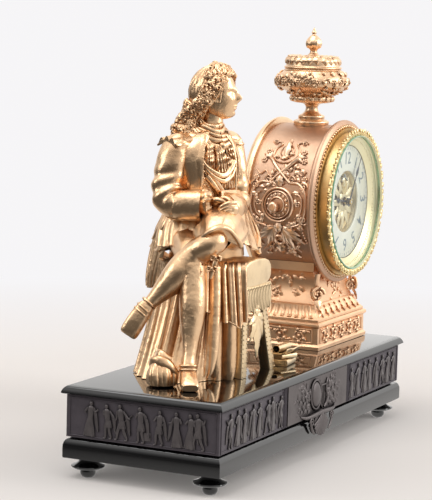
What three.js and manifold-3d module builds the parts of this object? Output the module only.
// A figural mantel clock: an enamelled iron base on turned feet carries a gilt seated figure on a stool
// and a drum-shaped clock case on a waisted pedestal, with an urn on top.
// Millimetres, +Z up, +X to the right as seen from the dial side, and the dial faces -Y.
// The origin is on the table, under the middle of the base.
import * as THREE from "three";
import { mergeVertices } from "three/addons/utils/BufferGeometryUtils.js";
import Module from "manifold-3d";

const wasm = await Module();
wasm.setup();

// Gaps and cuts
const seatGap = 0.3;
const runningGap = 0.4;
const overrun = 3;
const mergeDistance = 0.001;

// Base
const slabLength = 488;
const slabDepth = 178;
const slabHeight = 8.8;
const slabEdgeInset = 5.5;
const slabOverhang = 7;
const friezeHeight = 44.2;
const friezeWall = 6;
const mouldingHeight = 20.9;
const mouldingStep = 3.5;
const mouldingRail = 34;
const footHeight = 20.8;
const footRadius = 17;
const footInset = 21;
const footStudRadius = 3.5;
const footStudLength = 12;
const panelThickness = 2.4;
const panelMargin = 4;
const cornerPost = 9;
const centrePanelWidth = 160;
const panelPost = 9;
const mountRelief = 3.2;
const maskHalfWidth = 30;
const maskDrop = 26;

// Clock case
const caseInset = 87;
const drumX = slabLength / 2 - caseInset;
const drumZ = 256.3;
const drumRadius = 86;
const drumWall = 2.2;
const drumHalfDepth = 35;
const ringStand = 6;
const ringRadius = drumRadius + ringStand;
const ringThickness = 8.2;
const frontReveal = 7;
const frontOpening = drumRadius - frontReveal;
const rearReveal = 16;
const rearOpening = drumRadius - rearReveal;
const rearRingThickness = 4.7;
const bossRadius = 20;
const bossStand = 3;
const bossBallRadius = 6.5;
const earRadius = 9;
const plinthHalfLength = 70.5;
const plinthHalfDepth = 47.4;
const plinthHeight = 31;
const pedestalHalfLength = 67;
const pedestalHalfDepth = 44.5;
const pedestalRise = 70;
const neckHalfLength = 36.5;
const neckHalfDepth = 31;
const abacusHalfLength = 54.5;
const abacusHalfDepth = 32;
const voluteRadius = 6.5;
const voluteLength = 12;
const urnRadius = 43.7;
const urnHeight = 108.5;
const urnStudRadius = 2.2;
const boltRadius = 3;
const boltHeadRadius = 7;
const boltHeadHeight = 4;

// Movement: the plates fit the drum, and the trains are laid out over the plates
const plateInset = 14;
const plateRadius = drumRadius - plateInset;
const plateThickness = 1.5;
const plateGap = 27;
const motionSpace = 6.1;
const pillarRadius = 2.6;
const pillarInset = 6;
const arborRadius = 1.2;
const centreArborRadius = 1.5;
const windingArborRadius = 2.4;
const pipeWall = 0.9;
const windingShares = [11 / 24, -5 / 12];
const windingX = windingShares[0] * plateRadius;
const windingZ = windingShares[1] * plateRadius;
const windingCircle = Math.hypot(windingX, windingZ);
const trainModuleShare = 1 / 48;
const upperModuleShare = 1 / 80;
const motionModuleShare = 1 / 80;
const trainModule = trainModuleShare * plateRadius;
const upperModule = upperModuleShare * plateRadius;
const motionModule = motionModuleShare * plateRadius;
const wheelThickness = 1.5;
const barrelShare = 11 / 48;
const barrelRadius = barrelShare * plateRadius;
const barrelLength = 13;
const ratchetShare = 1 / 8;
const ratchetRadius = ratchetShare * plateRadius;
const escapeShare = 1 / 8;
const escapeRadius = escapeShare * plateRadius;
const escapeHeightShare = 2 / 9;
const escapeZ = escapeHeightShare * plateRadius;
const anchorZ = escapeZ + escapeRadius * Math.SQRT2;
const bobRadius = 13;
const bobThickness = 7;
const bobDrop = 71;
const rodRadius = 1.2;
const rodPlane = 7;
const palletRadius = 0.5;
const palletClearance = 0.9;
const gongBand = 16;
const gongWire = 1.4;
const gongPlane = 17;
const hammerShares = [-25 / 36, 5 / 12];
const hammerLengthShare = 16 / 45;
const hammerLength = hammerLengthShare * plateRadius;
const hammerDrop = 92;
const hammerHeadRadius = 4;
const strikeClearance = 1;
const coverThickness = 1.5;

// Dial and bezel
const panClearance = 0.5;
const panRadius = frontOpening - panClearance;
const panWall = 2;
const panDepth = 20;
const panLipWidth = 4.5;
const panLipRadius = panRadius + panLipWidth;
const panLipThickness = 1.7;
const windingClearance = 5;
const panBackHole = windingCircle + windingArborRadius + windingClearance;
const sashWidth = 16;
const sashInner = panRadius - sashWidth;
const dialLap = 1.2;
const dialRadius = sashInner + dialLap;
const centreMargin = 3.6;
const dialOpening = anchorZ + 2 * arborRadius + centreMargin;
const dialThickness = 2;
const dialSetback = 9.5;
const centreDepth = 6.5;
const sheetThickness = 1;
const windingHoleRadius = 3.8;
const bezelStand = 2.8;
const bezelRadius = panRadius + bezelStand;
const bezelLap = 4.3;
const bezelOpening = panRadius - bezelLap;
const bezelDepth = 4.5;
const bezelRabbet = 1.6;
const bezelLip = 1.1;
const glassThickness = 2.2;
const knuckleRadius = 2;
const knuckleHalfLength = 6;
const hingePinRadius = 0.8;
const hingeStand = 5;
const bezelHingeX = panRadius + hingeStand;
const handHub = 4.6;
const minuteHandLength = 57;
const hourHandLength = 40;
const handThickness = 0.6;

// Figure and stool
const stature = 400;
const figureInset = 164;
const figureX = figureInset - slabLength / 2;
const figureY = 10;
const stoolInset = 161;
const stoolX = stoolInset - slabLength / 2;
const stoolHalfLength = 33;
const stoolHalfDepth = 49;
const stoolHeight = 121;
const cushionHeight = 30;
const apronHeight = 25;
const legThickness = 9;
const legSplay = 17;
const legWidth = 13;
const leafDrop = 47;
const bookWidth = 22;
const bookHeight = 9;

// Tooth counts
const greatTeeth = 30;
const wheelTeeth = 24;
const pinionLeaves = 6;
const escapeTeeth = 24;
const ratchetTeeth = 12;
const cannonTeeth = 8;
const minuteWheelTeeth = 24;
const minutePinionTeeth = 6;
const hourWheelTeeth = 24;

// Facets: pieces that fit in or round each other have the same number
const fineSides = 30;
const plateSides = 24;
const discSides = 20;
const pipeSides = 16;
const roundSides = 12;
const studSides = 10;
const pinSides = 8;
const nutSides = 6;

// Levels and places that follow from the sizes above
const mouldingBottom = footHeight;
const friezeBottom = mouldingBottom + mouldingHeight;
const slabBottom = friezeBottom + friezeHeight;
const slabTop = slabBottom + slabHeight;
const friezeHalfLength = slabLength / 2 - slabOverhang;
const friezeHalfDepth = slabDepth / 2 - slabOverhang;
const plinthTop = slabTop + plinthHeight;
const frontRingFace = -(drumHalfDepth + seatGap + ringThickness);
const panFront = frontRingFace - panDepth + ringThickness - seatGap;
const panBack = panFront + panDepth;
const dialFace = panFront + dialSetback;
const centreFace = dialFace + centreDepth;
const frontPlateY = centreFace + sheetThickness + motionSpace;
const plateBack = frontPlateY + plateThickness;
const backPlateY = plateBack + plateGap;

// Geometry helpers: every one gives a closed solid

function solidOf(geometry) {
  const bare = geometry.index ? geometry.toNonIndexed() : geometry.clone();
  for (const name of Object.keys(bare.attributes)) {
    if (name !== "position") bare.deleteAttribute(name);
  }
  const merged = mergeVertices(bare, mergeDistance);
  const make = (triVerts) =>
    new wasm.Manifold(
      new wasm.Mesh({ numProp: 3, vertProperties: merged.attributes.position.array, triVerts }),
    );
  const triangles = Uint32Array.from(merged.index.array);
  const made = make(triangles);
  if (made.volume() > 0) return made;
  for (let i = 0; i < triangles.length; i += 3) {
    [triangles[i + 1], triangles[i + 2]] = [triangles[i + 2], triangles[i + 1]];
  }
  return make(triangles);
}

function geometryOf(solid) {
  const mesh = solid.getMesh();
  const geometry = new THREE.BufferGeometry();
  geometry.setAttribute("position", new THREE.BufferAttribute(mesh.vertProperties, 3));
  geometry.setIndex(new THREE.BufferAttribute(mesh.triVerts, 1));
  const flat = geometry.toNonIndexed();
  flat.computeVertexNormals();
  return flat;
}

function join(...solids) {
  return solids.flat().reduce((a, b) => a.add(b));
}

function cut(solid, ...tools) {
  return tools.flat().reduce((a, b) => a.subtract(b), solid);
}

function box(x0, x1, y0, y1, z0, z1) {
  const geometry = new THREE.BoxGeometry(x1 - x0, y1 - y0, z1 - z0);
  return solidOf(geometry.translate((x0 + x1) / 2, (y0 + y1) / 2, (z0 + z1) / 2));
}

// A closed surface through rings that have the same number of points; flat rings are closed across
function loft(rings, flat = false) {
  const count = rings[0].length;
  const points = rings.flat();
  const index = [];
  for (let r = 0; r + 1 < rings.length; r += 1) {
    for (let i = 0; i < count; i += 1) {
      const j = (i + 1) % count;
      const a = r * count + i;
      const b = r * count + j;
      index.push(a, b, b + count, a, b + count, a + count);
    }
  }
  for (const [start, flip] of [[0, true], [(rings.length - 1) * count, false]]) {
    if (flat) {
      for (let i = 0; i + 1 < count / 2; i += 1) {
        const [a, b, c, d] = [i, i + 1, count - 2 - i, count - 1 - i].map((k) => start + k);
        index.push(...(flip ? [c, b, a, d, c, a] : [a, b, c, a, c, d]));
      }
      continue;
    }
    const ring = points.slice(start, start + count);
    const middle = ring.reduce((sum, p) => sum.add(p), new THREE.Vector3()).divideScalar(count);
    points.push(middle);
    for (let i = 0; i < count; i += 1) {
      const pair = [start + i, start + ((i + 1) % count)];
      if (flip) pair.reverse();
      index.push(points.length - 1, ...pair);
    }
  }
  const geometry = new THREE.BufferGeometry().setFromPoints(points);
  geometry.setIndex(index);
  return solidOf(geometry);
}

// A stack of rectangles, each given as half length, half depth and height
function tower(levels, x = 0) {
  return loft(
    levels.map(([halfX, halfY, z]) => [
      new THREE.Vector3(x - halfX, -halfY, z),
      new THREE.Vector3(x + halfX, -halfY, z),
      new THREE.Vector3(x + halfX, halfY, z),
      new THREE.Vector3(x - halfX, halfY, z),
    ]),
  );
}

function lathe(profile, sides) {
  return solidOf(new THREE.LatheGeometry(profile.map(([r, h]) => new THREE.Vector2(r, h)), sides));
}

// Turned about a vertical axis
function turned(profile, sides) {
  const geometry = new THREE.LatheGeometry(profile.map(([r, h]) => new THREE.Vector2(r, h)), sides);
  return solidOf(geometry.rotateX(Math.PI / 2));
}

// A round bar along Y at (x, z)
function bar(radius, y0, y1, x = 0, z = 0, sides = roundSides) {
  const geometry = new THREE.CylinderGeometry(radius, radius, y1 - y0, sides);
  return solidOf(geometry.translate(x, (y0 + y1) / 2, z));
}

// A round bar along Z at (x, y)
function post(radius, z0, z1, x = 0, y = 0, sides = roundSides) {
  const geometry = new THREE.CylinderGeometry(radius, radius, z1 - z0, sides);
  return solidOf(geometry.rotateX(Math.PI / 2).translate(x, y, (z0 + z1) / 2));
}

// A round bar along X at (y, z)
function rod(radius, x0, x1, y = 0, z = 0, sides = roundSides) {
  const geometry = new THREE.CylinderGeometry(radius, radius, x1 - x0, sides);
  return solidOf(geometry.rotateZ(Math.PI / 2).translate((x0 + x1) / 2, y, z));
}

// A flat outline in the XZ plane, thick from y0 to y1
function plate(outline, y0, y1) {
  const shape = new THREE.Shape(outline.map(([x, z]) => new THREE.Vector2(x, z)));
  const geometry = new THREE.ExtrudeGeometry(shape, { depth: y1 - y0, bevelEnabled: false });
  return solidOf(geometry.rotateX(Math.PI / 2).translate(0, y1, 0));
}

function ball(radius, x, y, z, squash = [1, 1, 1], sides = roundSides) {
  const geometry = new THREE.SphereGeometry(radius, sides, Math.round(sides * 2 / 3));
  return solidOf(geometry.scale(...squash).translate(x, y, z));
}

// An oval limb through sections of x, y, z, half width and half depth as shares of a length;
// across is the way its width points
function limb({ across, sides, sections }, length) {
  const points = sections.map(([x, y, z]) => new THREE.Vector3(x, y, z).multiplyScalar(length));
  const rings = points.map((point, i) => {
    const before = points[Math.max(i - 1, 0)];
    const after = points[Math.min(i + 1, points.length - 1)];
    const along = after.clone().sub(before).normalize();
    const wide = new THREE.Vector3(...across);
    wide.addScaledVector(along, -wide.dot(along)).normalize();
    const deep = along.clone().cross(wide);
    const [halfWidth, halfDepth] = sections[i].slice(3);
    return Array.from({ length: sides }, (_, k) => {
      const angle = (2 * Math.PI * k) / sides;
      return point
        .clone()
        .addScaledVector(wide, length * halfWidth * Math.cos(angle))
        .addScaledVector(deep, length * halfDepth * Math.sin(angle));
    });
  });
  return loft(rings);
}

// A bent sheet through rows of points given as shares of a length
function sheet(rows, length, thickness) {
  const points = rows.map((row) => row.map((share) => new THREE.Vector3(...share).multiplyScalar(length)));
  const [lastRow, lastColumn] = [points.length - 1, points[0].length - 1];
  const rings = points.map((row, i) => {
    const faces = row.map((point, j) => {
      const across = row[Math.min(j + 1, lastColumn)].clone().sub(row[Math.max(j - 1, 0)]);
      const down = points[Math.min(i + 1, lastRow)][j].clone().sub(points[Math.max(i - 1, 0)][j]);
      const out = across.cross(down).setLength(thickness / 2);
      return [point.clone().add(out), point.clone().sub(out)];
    });
    return [...faces.map(([front]) => front), ...faces.map(([, back]) => back).reverse()];
  });
  return loft(rings, true);
}

// Cloth hung between two lines in plan and filled back to its inner points; its folds deepen downwards.
// Places, heights and depth are shares of a length
function hanging({ top, bottom, inner, high, low, folds, depth }, length) {
  const steps = Math.round(4 * folds);
  const [upper, lower] = [top, bottom].map((line) =>
    new THREE.SplineCurve(line.map(([x, y]) => new THREE.Vector2(x, y))).getPoints(steps),
  );
  return loft(
    [0, 0.3, 0.65, 1].map((down) => {
      const line = upper.map((point, i) => point.clone().lerp(lower[i], down ** 1.4));
      const folded = line.map((point, i) => {
        const along = line[Math.min(i + 1, steps)].clone().sub(line[Math.max(i - 1, 0)]).normalize();
        const swell = depth * down * Math.sin((2 * Math.PI * folds * i) / steps);
        return [point.x + along.y * swell, point.y - along.x * swell];
      });
      const height = high + (low - high) * down;
      return [...folded, ...inner].map(([x, y]) => new THREE.Vector3(x, y, height).multiplyScalar(length));
    }),
  );
}

// A toothed disc along Y: pointed teeth, one of them on the line that runs from its centre at angle phase
function gear({ teeth, module, phase, y0, y1, x = 0, z = 0 }) {
  const addendumShare = 0.8;
  const dedendumShare = 1.1;
  const rootWidthShare = 0.62;
  const pitchRadius = (teeth * module) / 2;
  const root = pitchRadius - dedendumShare * module;
  const tip = pitchRadius + addendumShare * module;
  const step = (2 * Math.PI) / teeth;
  const outline = [];
  for (let i = 0; i < teeth; i += 1) {
    const middle = phase + i * step;
    for (const [radius, turn] of [[root, -rootWidthShare / 2], [tip, 0], [root, rootWidthShare / 2]]) {
      const angle = middle + turn * step;
      outline.push([x + radius * Math.cos(angle), z + radius * Math.sin(angle)]);
    }
  }
  return plate(outline, y0, y1);
}

// A ratchet or escape wheel: leaning teeth on a rim
function toothedRim({ teeth, radius, depth, lean, y0, y1, x = 0, z = 0 }) {
  const step = (2 * Math.PI) / teeth;
  const outline = [];
  for (let i = 0; i < teeth; i += 1) {
    const angle = i * step;
    outline.push([x + radius * Math.cos(angle), z + radius * Math.sin(angle)]);
    const back = angle + lean * step;
    outline.push([x + (radius - depth) * Math.cos(back), z + (radius - depth) * Math.sin(back)]);
  }
  return plate(outline, y0, y1);
}

const root = new THREE.Group();

function material(color, roughness, metalness) {
  return new THREE.MeshStandardMaterial({ color, roughness, metalness });
}

const enamel = material(0x0b0b0c, 0.15, 0);
const darkBronze = material(0x4a4243, 0.55, 0.4);
const copperBronze = material(0xc98a62, 0.4, 0.9);
const gilt = material(0xd9a566, 0.25, 1);
const brass = material(0xcda349, 0.3, 1);
const steel = material(0x77797c, 0.35, 1);
const blued = material(0x1c1d26, 0.3, 0.8);
const porcelain = material(0xf3f2ea, 0.2, 0);
const glass = material(0xdfeee6, 0.05, 0);
glass.transparent = true;
glass.opacity = 0.35;

function add(group, name, solid, finish) {
  const mesh = new THREE.Mesh(geometryOf(solid), finish);
  mesh.name = name;
  group.add(mesh);
}

// Base: slab, hollow frieze box and moulding, all open below

const slab = cut(
  tower([
    [slabLength / 2 - slabEdgeInset, slabDepth / 2 - slabEdgeInset, slabBottom],
    [slabLength / 2 - slabEdgeInset / 2, slabDepth / 2 - slabEdgeInset / 2, slabBottom + slabHeight * 0.22],
    [slabLength / 2, slabDepth / 2, slabBottom + slabHeight * 0.42],
    [slabLength / 2, slabDepth / 2, slabTop - slabHeight * 0.22],
    [slabLength / 2 - slabEdgeInset / 4, slabDepth / 2 - slabEdgeInset / 4, slabTop],
  ]),
  post(boltRadius + runningGap, slabBottom - overrun, slabTop + overrun, drumX),
);
add(root, "base_top_slab", slab, enamel);

const friezeTop = slabBottom - seatGap;
const panelTop = friezeTop - panelMargin;
const panelBottom = friezeBottom + panelMargin;
const panelRecess = panelThickness * 0.7;
const endPanelHalf = friezeHalfDepth - cornerPost;
const centrePanelHalf = centrePanelWidth / 2;
const sidePanelInner = centrePanelHalf + panelPost;
const sidePanelOuter = friezeHalfLength - cornerPost;
const panelPlaces = {
  end_frieze_left: { end: -1 },
  end_frieze_right: { end: 1 },
  front_frieze_left: { from: -sidePanelOuter, to: -sidePanelInner },
  front_frieze_right: { from: sidePanelInner, to: sidePanelOuter },
};

// The space of a frieze panel, less a gap all round
function panelSpace({ end, from, to }, gap, depth, stand) {
  if (end) {
    const face = friezeHalfLength - depth;
    const x0 = end > 0 ? face : -face - stand;
    return box(x0, x0 + stand, -endPanelHalf + gap, endPanelHalf - gap, panelBottom + gap, panelTop - gap);
  }
  const y1 = -friezeHalfDepth + depth;
  return box(from + gap, to - gap, y1 - stand, y1, panelBottom + gap, panelTop - gap);
}

const friezeBox = cut(
  box(-friezeHalfLength, friezeHalfLength, -friezeHalfDepth, friezeHalfDepth, friezeBottom, friezeTop),
  box(
    -friezeHalfLength + friezeWall,
    friezeHalfLength - friezeWall,
    -friezeHalfDepth + friezeWall,
    friezeHalfDepth - friezeWall,
    friezeBottom - overrun,
    friezeTop + overrun,
  ),
  ...Object.values(panelPlaces).map((place) => panelSpace(place, 0, panelRecess, panelRecess + overrun)),
);
add(root, "base_frieze_box", friezeBox, enamel);

for (const [name, place] of Object.entries(panelPlaces)) {
  const flat = panelSpace(place, seatGap, panelRecess - seatGap, panelThickness - mountRelief / 8);
  add(root, name, flat, darkBronze);
}

const mouldingTop = friezeBottom - seatGap;
const railX = slabLength / 2 - mouldingRail;
const railY = slabDepth / 2 - mouldingRail;
const footX = slabLength / 2 - footInset;
const footY = slabDepth / 2 - footInset;
const footPlaces = {
  foot_front_left: [-footX, -footY],
  foot_front_right: [footX, -footY],
  foot_rear_left: [-footX, footY],
  foot_rear_right: [footX, footY],
};
const mouldingShares = [[0.5, 0], [0, 0.1], [0, 0.38], [0.7, 0.5], [0.75, 0.72], [1.8, 0.86], [1.9, 1]];
const moulding = cut(
  tower(
    mouldingShares.map(([out, up]) => [
      slabLength / 2 - seatGap - out * mouldingStep,
      slabDepth / 2 - seatGap - out * mouldingStep,
      mouldingBottom + up * (mouldingTop - mouldingBottom),
    ]),
  ),
  box(-railX, railX, -railY, railY, mouldingBottom - overrun, mouldingTop + overrun),
  ...Object.values(footPlaces).map(([x, y]) =>
    post(footStudRadius + seatGap, mouldingBottom - overrun, mouldingBottom + footStudLength, x, y),
  ),
);
add(root, "base_moulding", moulding, enamel);

// Turned foot: a ball under a ringed disc, with a stud that goes up into the moulding
const footShares = [
  [0.26, 0], [0.44, 0.12], [0.44, 0.28], [0.38, 0.36], [0.56, 0.42], [0.44, 0.52], [1, 0.74], [1, 0.84],
  [0.8, 0.98],
];
const footTop = footHeight - seatGap;
for (const [name, [x, y]] of Object.entries(footPlaces)) {
  const profile = footShares.map(([out, up]) => [out * footRadius, up * footTop]);
  const foot = turned(
    [
      [0, 0],
      ...profile,
      [footStudRadius, footTop],
      [footStudRadius, footTop + footStudLength - seatGap],
      [0, footTop + footStudLength - seatGap],
    ],
    studSides,
  );
  add(root, name, foot.translate([x, y, 0]), enamel);
}

// Centre mount: an oval shield over foliage, and a mask that hangs in front of the moulding
const mountFace = -friezeHalfDepth - seatGap;
const mountMiddle = (panelTop + panelBottom) / 2;
const mountHalfHeight = (panelTop - panelBottom) / 2;
const foliageShares = [
  [-1, 0.15], [-0.95, -0.5], [-0.6, -0.75], [-0.4, -0.95], [0.4, -0.95], [0.6, -0.75], [0.95, -0.5],
  [1, 0.15], [0.85, 0.7], [0.45, 0.85], [0.2, 1], [-0.2, 1], [-0.45, 0.85], [-0.85, 0.7],
];
const foliage = plate(
  foliageShares.map(([x, z]) => [x * centrePanelHalf, mountMiddle + z * mountHalfHeight]),
  mountFace - mountRelief / 2,
  mountFace,
);
const shieldShares = [0.8, 0.25, 0.95];
const shieldFace = mountFace - mountRelief / 2;
const shield = ball(mountHalfHeight, 0, shieldFace, mountMiddle, shieldShares, pipeSides);
const maskTop = panelBottom + mountRelief;
const maskShares = [
  [-1.5, 0.1], [-0.9, -0.25], [-0.75, -0.6], [-0.3, -0.95], [0, -1.1], [0.3, -0.95], [0.75, -0.6],
  [0.9, -0.25], [1.5, 0.1], [0.9, 0.2], [-0.9, 0.2],
];
const maskFront = -slabDepth / 2 - mountRelief;
const mask = plate(
  maskShares.map(([x, z]) => [x * maskHalfWidth, maskTop + z * maskDrop]),
  maskFront,
  -slabDepth / 2,
);
const maskBracket = box(
  -maskHalfWidth / 2,
  maskHalfWidth / 2,
  maskFront,
  mountFace,
  mouldingTop + seatGap,
  maskTop + mountRelief,
);
const centreMount = cut(
  join(foliage, shield, mask, maskBracket),
  box(-centrePanelHalf, centrePanelHalf, mountFace, 0, 0, slabTop),
);
add(root, "front_centre_mount", centreMount, darkBronze);

// Clock case: plinth and pedestal are hollow castings, open below

const casting = bossStand;
const plinthShares = [
  [1, 1, 0], [1, 1, 0.14], [0.965, 0.95, 0.2], [0.965, 0.95, 0.78], [1, 1, 0.84], [1, 1, 0.95],
  [0.97, 0.96, 1],
];
const plinthBottom = slabTop + seatGap;
const plinthInsideX = plinthHalfLength - 2 * casting;
const plinthInsideY = plinthHalfDepth - 2 * casting;
const boltNutZ = plinthTop + casting;
const plinth = cut(
  tower(
    plinthShares.map(([x, y, up]) => [
      x * plinthHalfLength,
      y * plinthHalfDepth,
      plinthBottom + up * (plinthTop - plinthBottom),
    ]),
    drumX,
  ),
  tower(
    [
      [plinthInsideX, plinthInsideY, plinthBottom - overrun],
      [plinthInsideX, plinthInsideY, plinthTop - casting],
    ],
    drumX,
  ),
  post(boltRadius + runningGap, slabTop, plinthTop + overrun, drumX),
);
add(root, "case_plinth", plinth, copperBronze);

const pedestalBottom = plinthTop + seatGap;
const bandRise = 0.26;
const pedestalShares = [
  [1, 1, 0], [1, 1, 0.05], [0.86, 0.84, 0.16], [0.85, 0.78, bandRise],
];
const waistShares = [
  [1.35, 1.12, 0.28], [1.12, 1.02, 0.38], [1, 1, 0.52], [1.08, 1, 0.64], [1.35, 1, 0.78], [1.45, 1, 0.83],
];
const abacusShares = [
  [1, 1, 0.84], [1, 1, 0.97], [0.97, 0.95, 1],
];
const pedestalLevel = (up) => pedestalBottom + up * pedestalRise;
const pedestalStack = [
  ...pedestalShares.map(([x, y, up]) => [x * pedestalHalfLength, y * pedestalHalfDepth, pedestalLevel(up)]),
  ...waistShares.map(([x, y, up]) => [x * neckHalfLength, y * neckHalfDepth, pedestalLevel(up)]),
  ...abacusShares.map(([x, y, up]) => [x * abacusHalfLength, y * abacusHalfDepth, pedestalLevel(up)]),
];
const drumSpace = bar(drumRadius + seatGap, -slabDepth, slabDepth, drumX, drumZ, fineSides);
const voluteX = neckHalfLength + voluteRadius * 0.9;
const voluteY = neckHalfDepth - voluteLength * 0.35;
const voluteZ = pedestalLevel(0.5);
const volutes = [];
for (const sideX of [-1, 1]) {
  for (const sideY of [-1, 1]) {
    const low = sideY * voluteY - voluteLength / 2;
    volutes.push(bar(voluteRadius, low, low + voluteLength, drumX + sideX * voluteX, voluteZ));
  }
}
const pedestal = cut(
  join(tower(pedestalStack, drumX), ...volutes),
  drumSpace,
  tower(
    [
      [neckHalfLength - 2 * casting, neckHalfDepth - 2 * casting, pedestalBottom - overrun],
      [neckHalfLength - 2 * casting, neckHalfDepth - 2 * casting, pedestalLevel(0.5)],
    ],
    drumX,
  ),
);
add(root, "case_pedestal", pedestal, copperBronze);

const boltHeadZ = slabBottom - seatGap - boltHeadHeight;
const caseBolt = join(
  post(boltHeadRadius, boltHeadZ, boltHeadZ + boltHeadHeight, drumX, 0, nutSides),
  post(boltRadius, boltHeadZ, plinthTop + casting, drumX),
  post(boltHeadRadius, boltNutZ - casting + seatGap, boltNutZ + boltHeadHeight, drumX, 0, nutSides),
);
add(root, "case_bolt", caseBolt, steel);

// The drum and its two rings
function tube(outer, inner, y0, y1) {
  const section = [[inner, y0], [outer, y0], [outer, y1], [inner, y1], [inner, y0]];
  return lathe(section, fineSides).translate([drumX, 0, drumZ]);
}

const barrel = tube(drumRadius, drumRadius - drumWall, -drumHalfDepth, drumHalfDepth);
add(root, "drum_barrel", barrel, copperBronze);

const ringBack = -drumHalfDepth - seatGap;
const frontRingShares = [[0, 0], [1, 0], [1, 0.45], [0.85, 1], [0.25, 0.8], [0, 0.8], [0, 0]];
const frontRingWidth = ringRadius - frontOpening;
const frontRing = lathe(
  frontRingShares.map(([out, up]) => [frontOpening + out * frontRingWidth, ringBack - up * ringThickness]),
  fineSides,
).translate([drumX, 0, drumZ]);
add(root, "front_ring", frontRing, copperBronze);

const rearRingFront = drumHalfDepth + seatGap;
const rearRingBack = rearRingFront + rearRingThickness;
const doorLip = rearOpening + casting;
const doorHingeX = -(doorLip + knuckleRadius + 2 * runningGap);
const doorHingeY = rearRingBack + knuckleRadius + runningGap;
const screwCircle = panRadius - panWall / 2;
const screwHeadRadius = 0.8 * boltRadius;
const screwRadius = boltRadius / 2;
const screwPlaces = { case_screw_top: screwCircle, case_screw_bottom: -screwCircle };
const knuckleBore = hingePinRadius + seatGap;

// A hinge knuckle on a vertical axis, with a leaf that ties it to what carries it
function knuckle(x, y, z0, z1, leafX0, leafX1, leafY0, leafY1) {
  return cut(
    join(post(knuckleRadius, z0, z1, x, y, pinSides), box(leafX0, leafX1, leafY0, leafY1, z0, z1)),
    post(knuckleBore, z0 - overrun, z1 + overrun, x, y, pinSides),
  );
}

const fixedKnuckles = [[-2, -1], [1, 2]].map(([low, high]) => [
  drumZ + (low * knuckleHalfLength) / 2 + (high < 0 ? 0 : seatGap),
  drumZ + (high * knuckleHalfLength) / 2 - (high < 0 ? seatGap : 0),
]);
const movingKnuckle = [drumZ - knuckleHalfLength / 2, drumZ + knuckleHalfLength / 2];
const doorAxisX = drumX + doorHingeX;
const rearRing = cut(
  join(
    tube(ringRadius, rearOpening, rearRingFront, rearRingBack),
    ...fixedKnuckles.map(([z0, z1]) =>
      knuckle(
        doorAxisX,
        doorHingeY,
        z0,
        z1,
        doorAxisX - knuckleRadius,
        doorAxisX - knuckleBore - seatGap,
        rearRingFront + rearRingThickness / 2,
        doorHingeY,
      ),
    ),
  ),
  ...Object.values(screwPlaces).map((z) =>
    bar(screwRadius + runningGap, rearRingFront - overrun, rearRingBack + overrun, drumX, drumZ + z),
  ),
);
add(root, "rear_ring", rearRing, copperBronze);

const coverFront = rearRingBack + seatGap;
const coverBack = coverFront + coverThickness;
const knobX = rearOpening * 0.84;
const knobShares = [[0, 0], [0.5, 0], [0.5, 0.4], [1, 0.6], [1, 0.85], [0.6, 1], [0, 1]];
const knobRadius = boltHeadRadius * 0.6;
const knobLength = boltHeadRadius;
const knob = lathe(knobShares.map(([r, up]) => [r * knobRadius, up * knobLength]), roundSides)
  .translate([drumX + knobX, coverBack - mergeDistance, drumZ]);
const cover = join(
  cut(
    join(
      tube(doorLip, mergeDistance, coverFront, coverBack),
      bar(doorLip / 2, coverFront, coverBack, drumX, drumZ, plateSides),
    ),
    box(
      doorAxisX - knuckleRadius - runningGap,
      doorAxisX + knuckleRadius + runningGap,
      coverFront - overrun,
      coverBack + overrun,
      drumZ - 2 * knuckleHalfLength,
      drumZ + 2 * knuckleHalfLength,
    ),
  ),
  knuckle(
    doorAxisX,
    doorHingeY,
    ...movingKnuckle,
    doorAxisX + knuckleBore + seatGap,
    doorAxisX + knuckleRadius + 3 * casting,
    coverFront + coverThickness / 2,
    doorHingeY + knuckleRadius / 2,
  ),
  knob,
);
add(root, "back_cover", cover, brass);
const doorPinLow = drumZ - knuckleHalfLength;
const doorPinHigh = drumZ + knuckleHalfLength;
add(
  root,
  "back_hinge_pin",
  post(hingePinRadius, doorPinLow, doorPinHigh, doorAxisX, doorHingeY, pinSides),
  steel,
);

const screwHeadFront = rearRingBack + seatGap;
for (const [name, up] of Object.entries(screwPlaces)) {
  const z = drumZ + up;
  const screw = join(
    bar(screwRadius, panBack + seatGap, screwHeadFront + mergeDistance, drumX, z, pinSides),
    bar(screwHeadRadius, screwHeadFront, screwHeadFront + screwRadius, drumX, z, studSides),
  );
  add(root, name, screw, steel);
}

// Side mounts on the drum: a round cartouche with a ball, two scrolled ears and a drop above and below
for (const [name, side] of [["side_mount_left", -1], ["side_mount_right", 1]]) {
  const outer = drumX + side * (drumRadius + bossStand);
  const inner = drumX + side * drumRadius * 0.9;
  const [x0, x1] = side < 0 ? [outer, inner] : [inner, outer];
  const stand = rod(bossRadius, x0, x1, 0, drumZ, discSides);
  const earY = bossRadius + earRadius * 0.6;
  const ears = [-1, 1].map((turn) => rod(earRadius, x0, x1, turn * earY, drumZ, roundSides));
  const drops = [-1, 1].map((up) => {
    const along = up * bossRadius * 1.55;
    return ball(bossRadius, 0, 0, 0, [0.45, 0.7, 0.95], studSides).translate([
      drumX + side * Math.sqrt(drumRadius * drumRadius - along * along),
      0,
      drumZ + along,
    ]);
  });
  const button = ball(bossBallRadius, outer - (side * bossBallRadius) / 2, 0, drumZ, [1, 1, 1], studSides);
  add(root, name, cut(join(stand, ...ears, ...drops, button), drumSpace), copperBronze);
}

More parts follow.
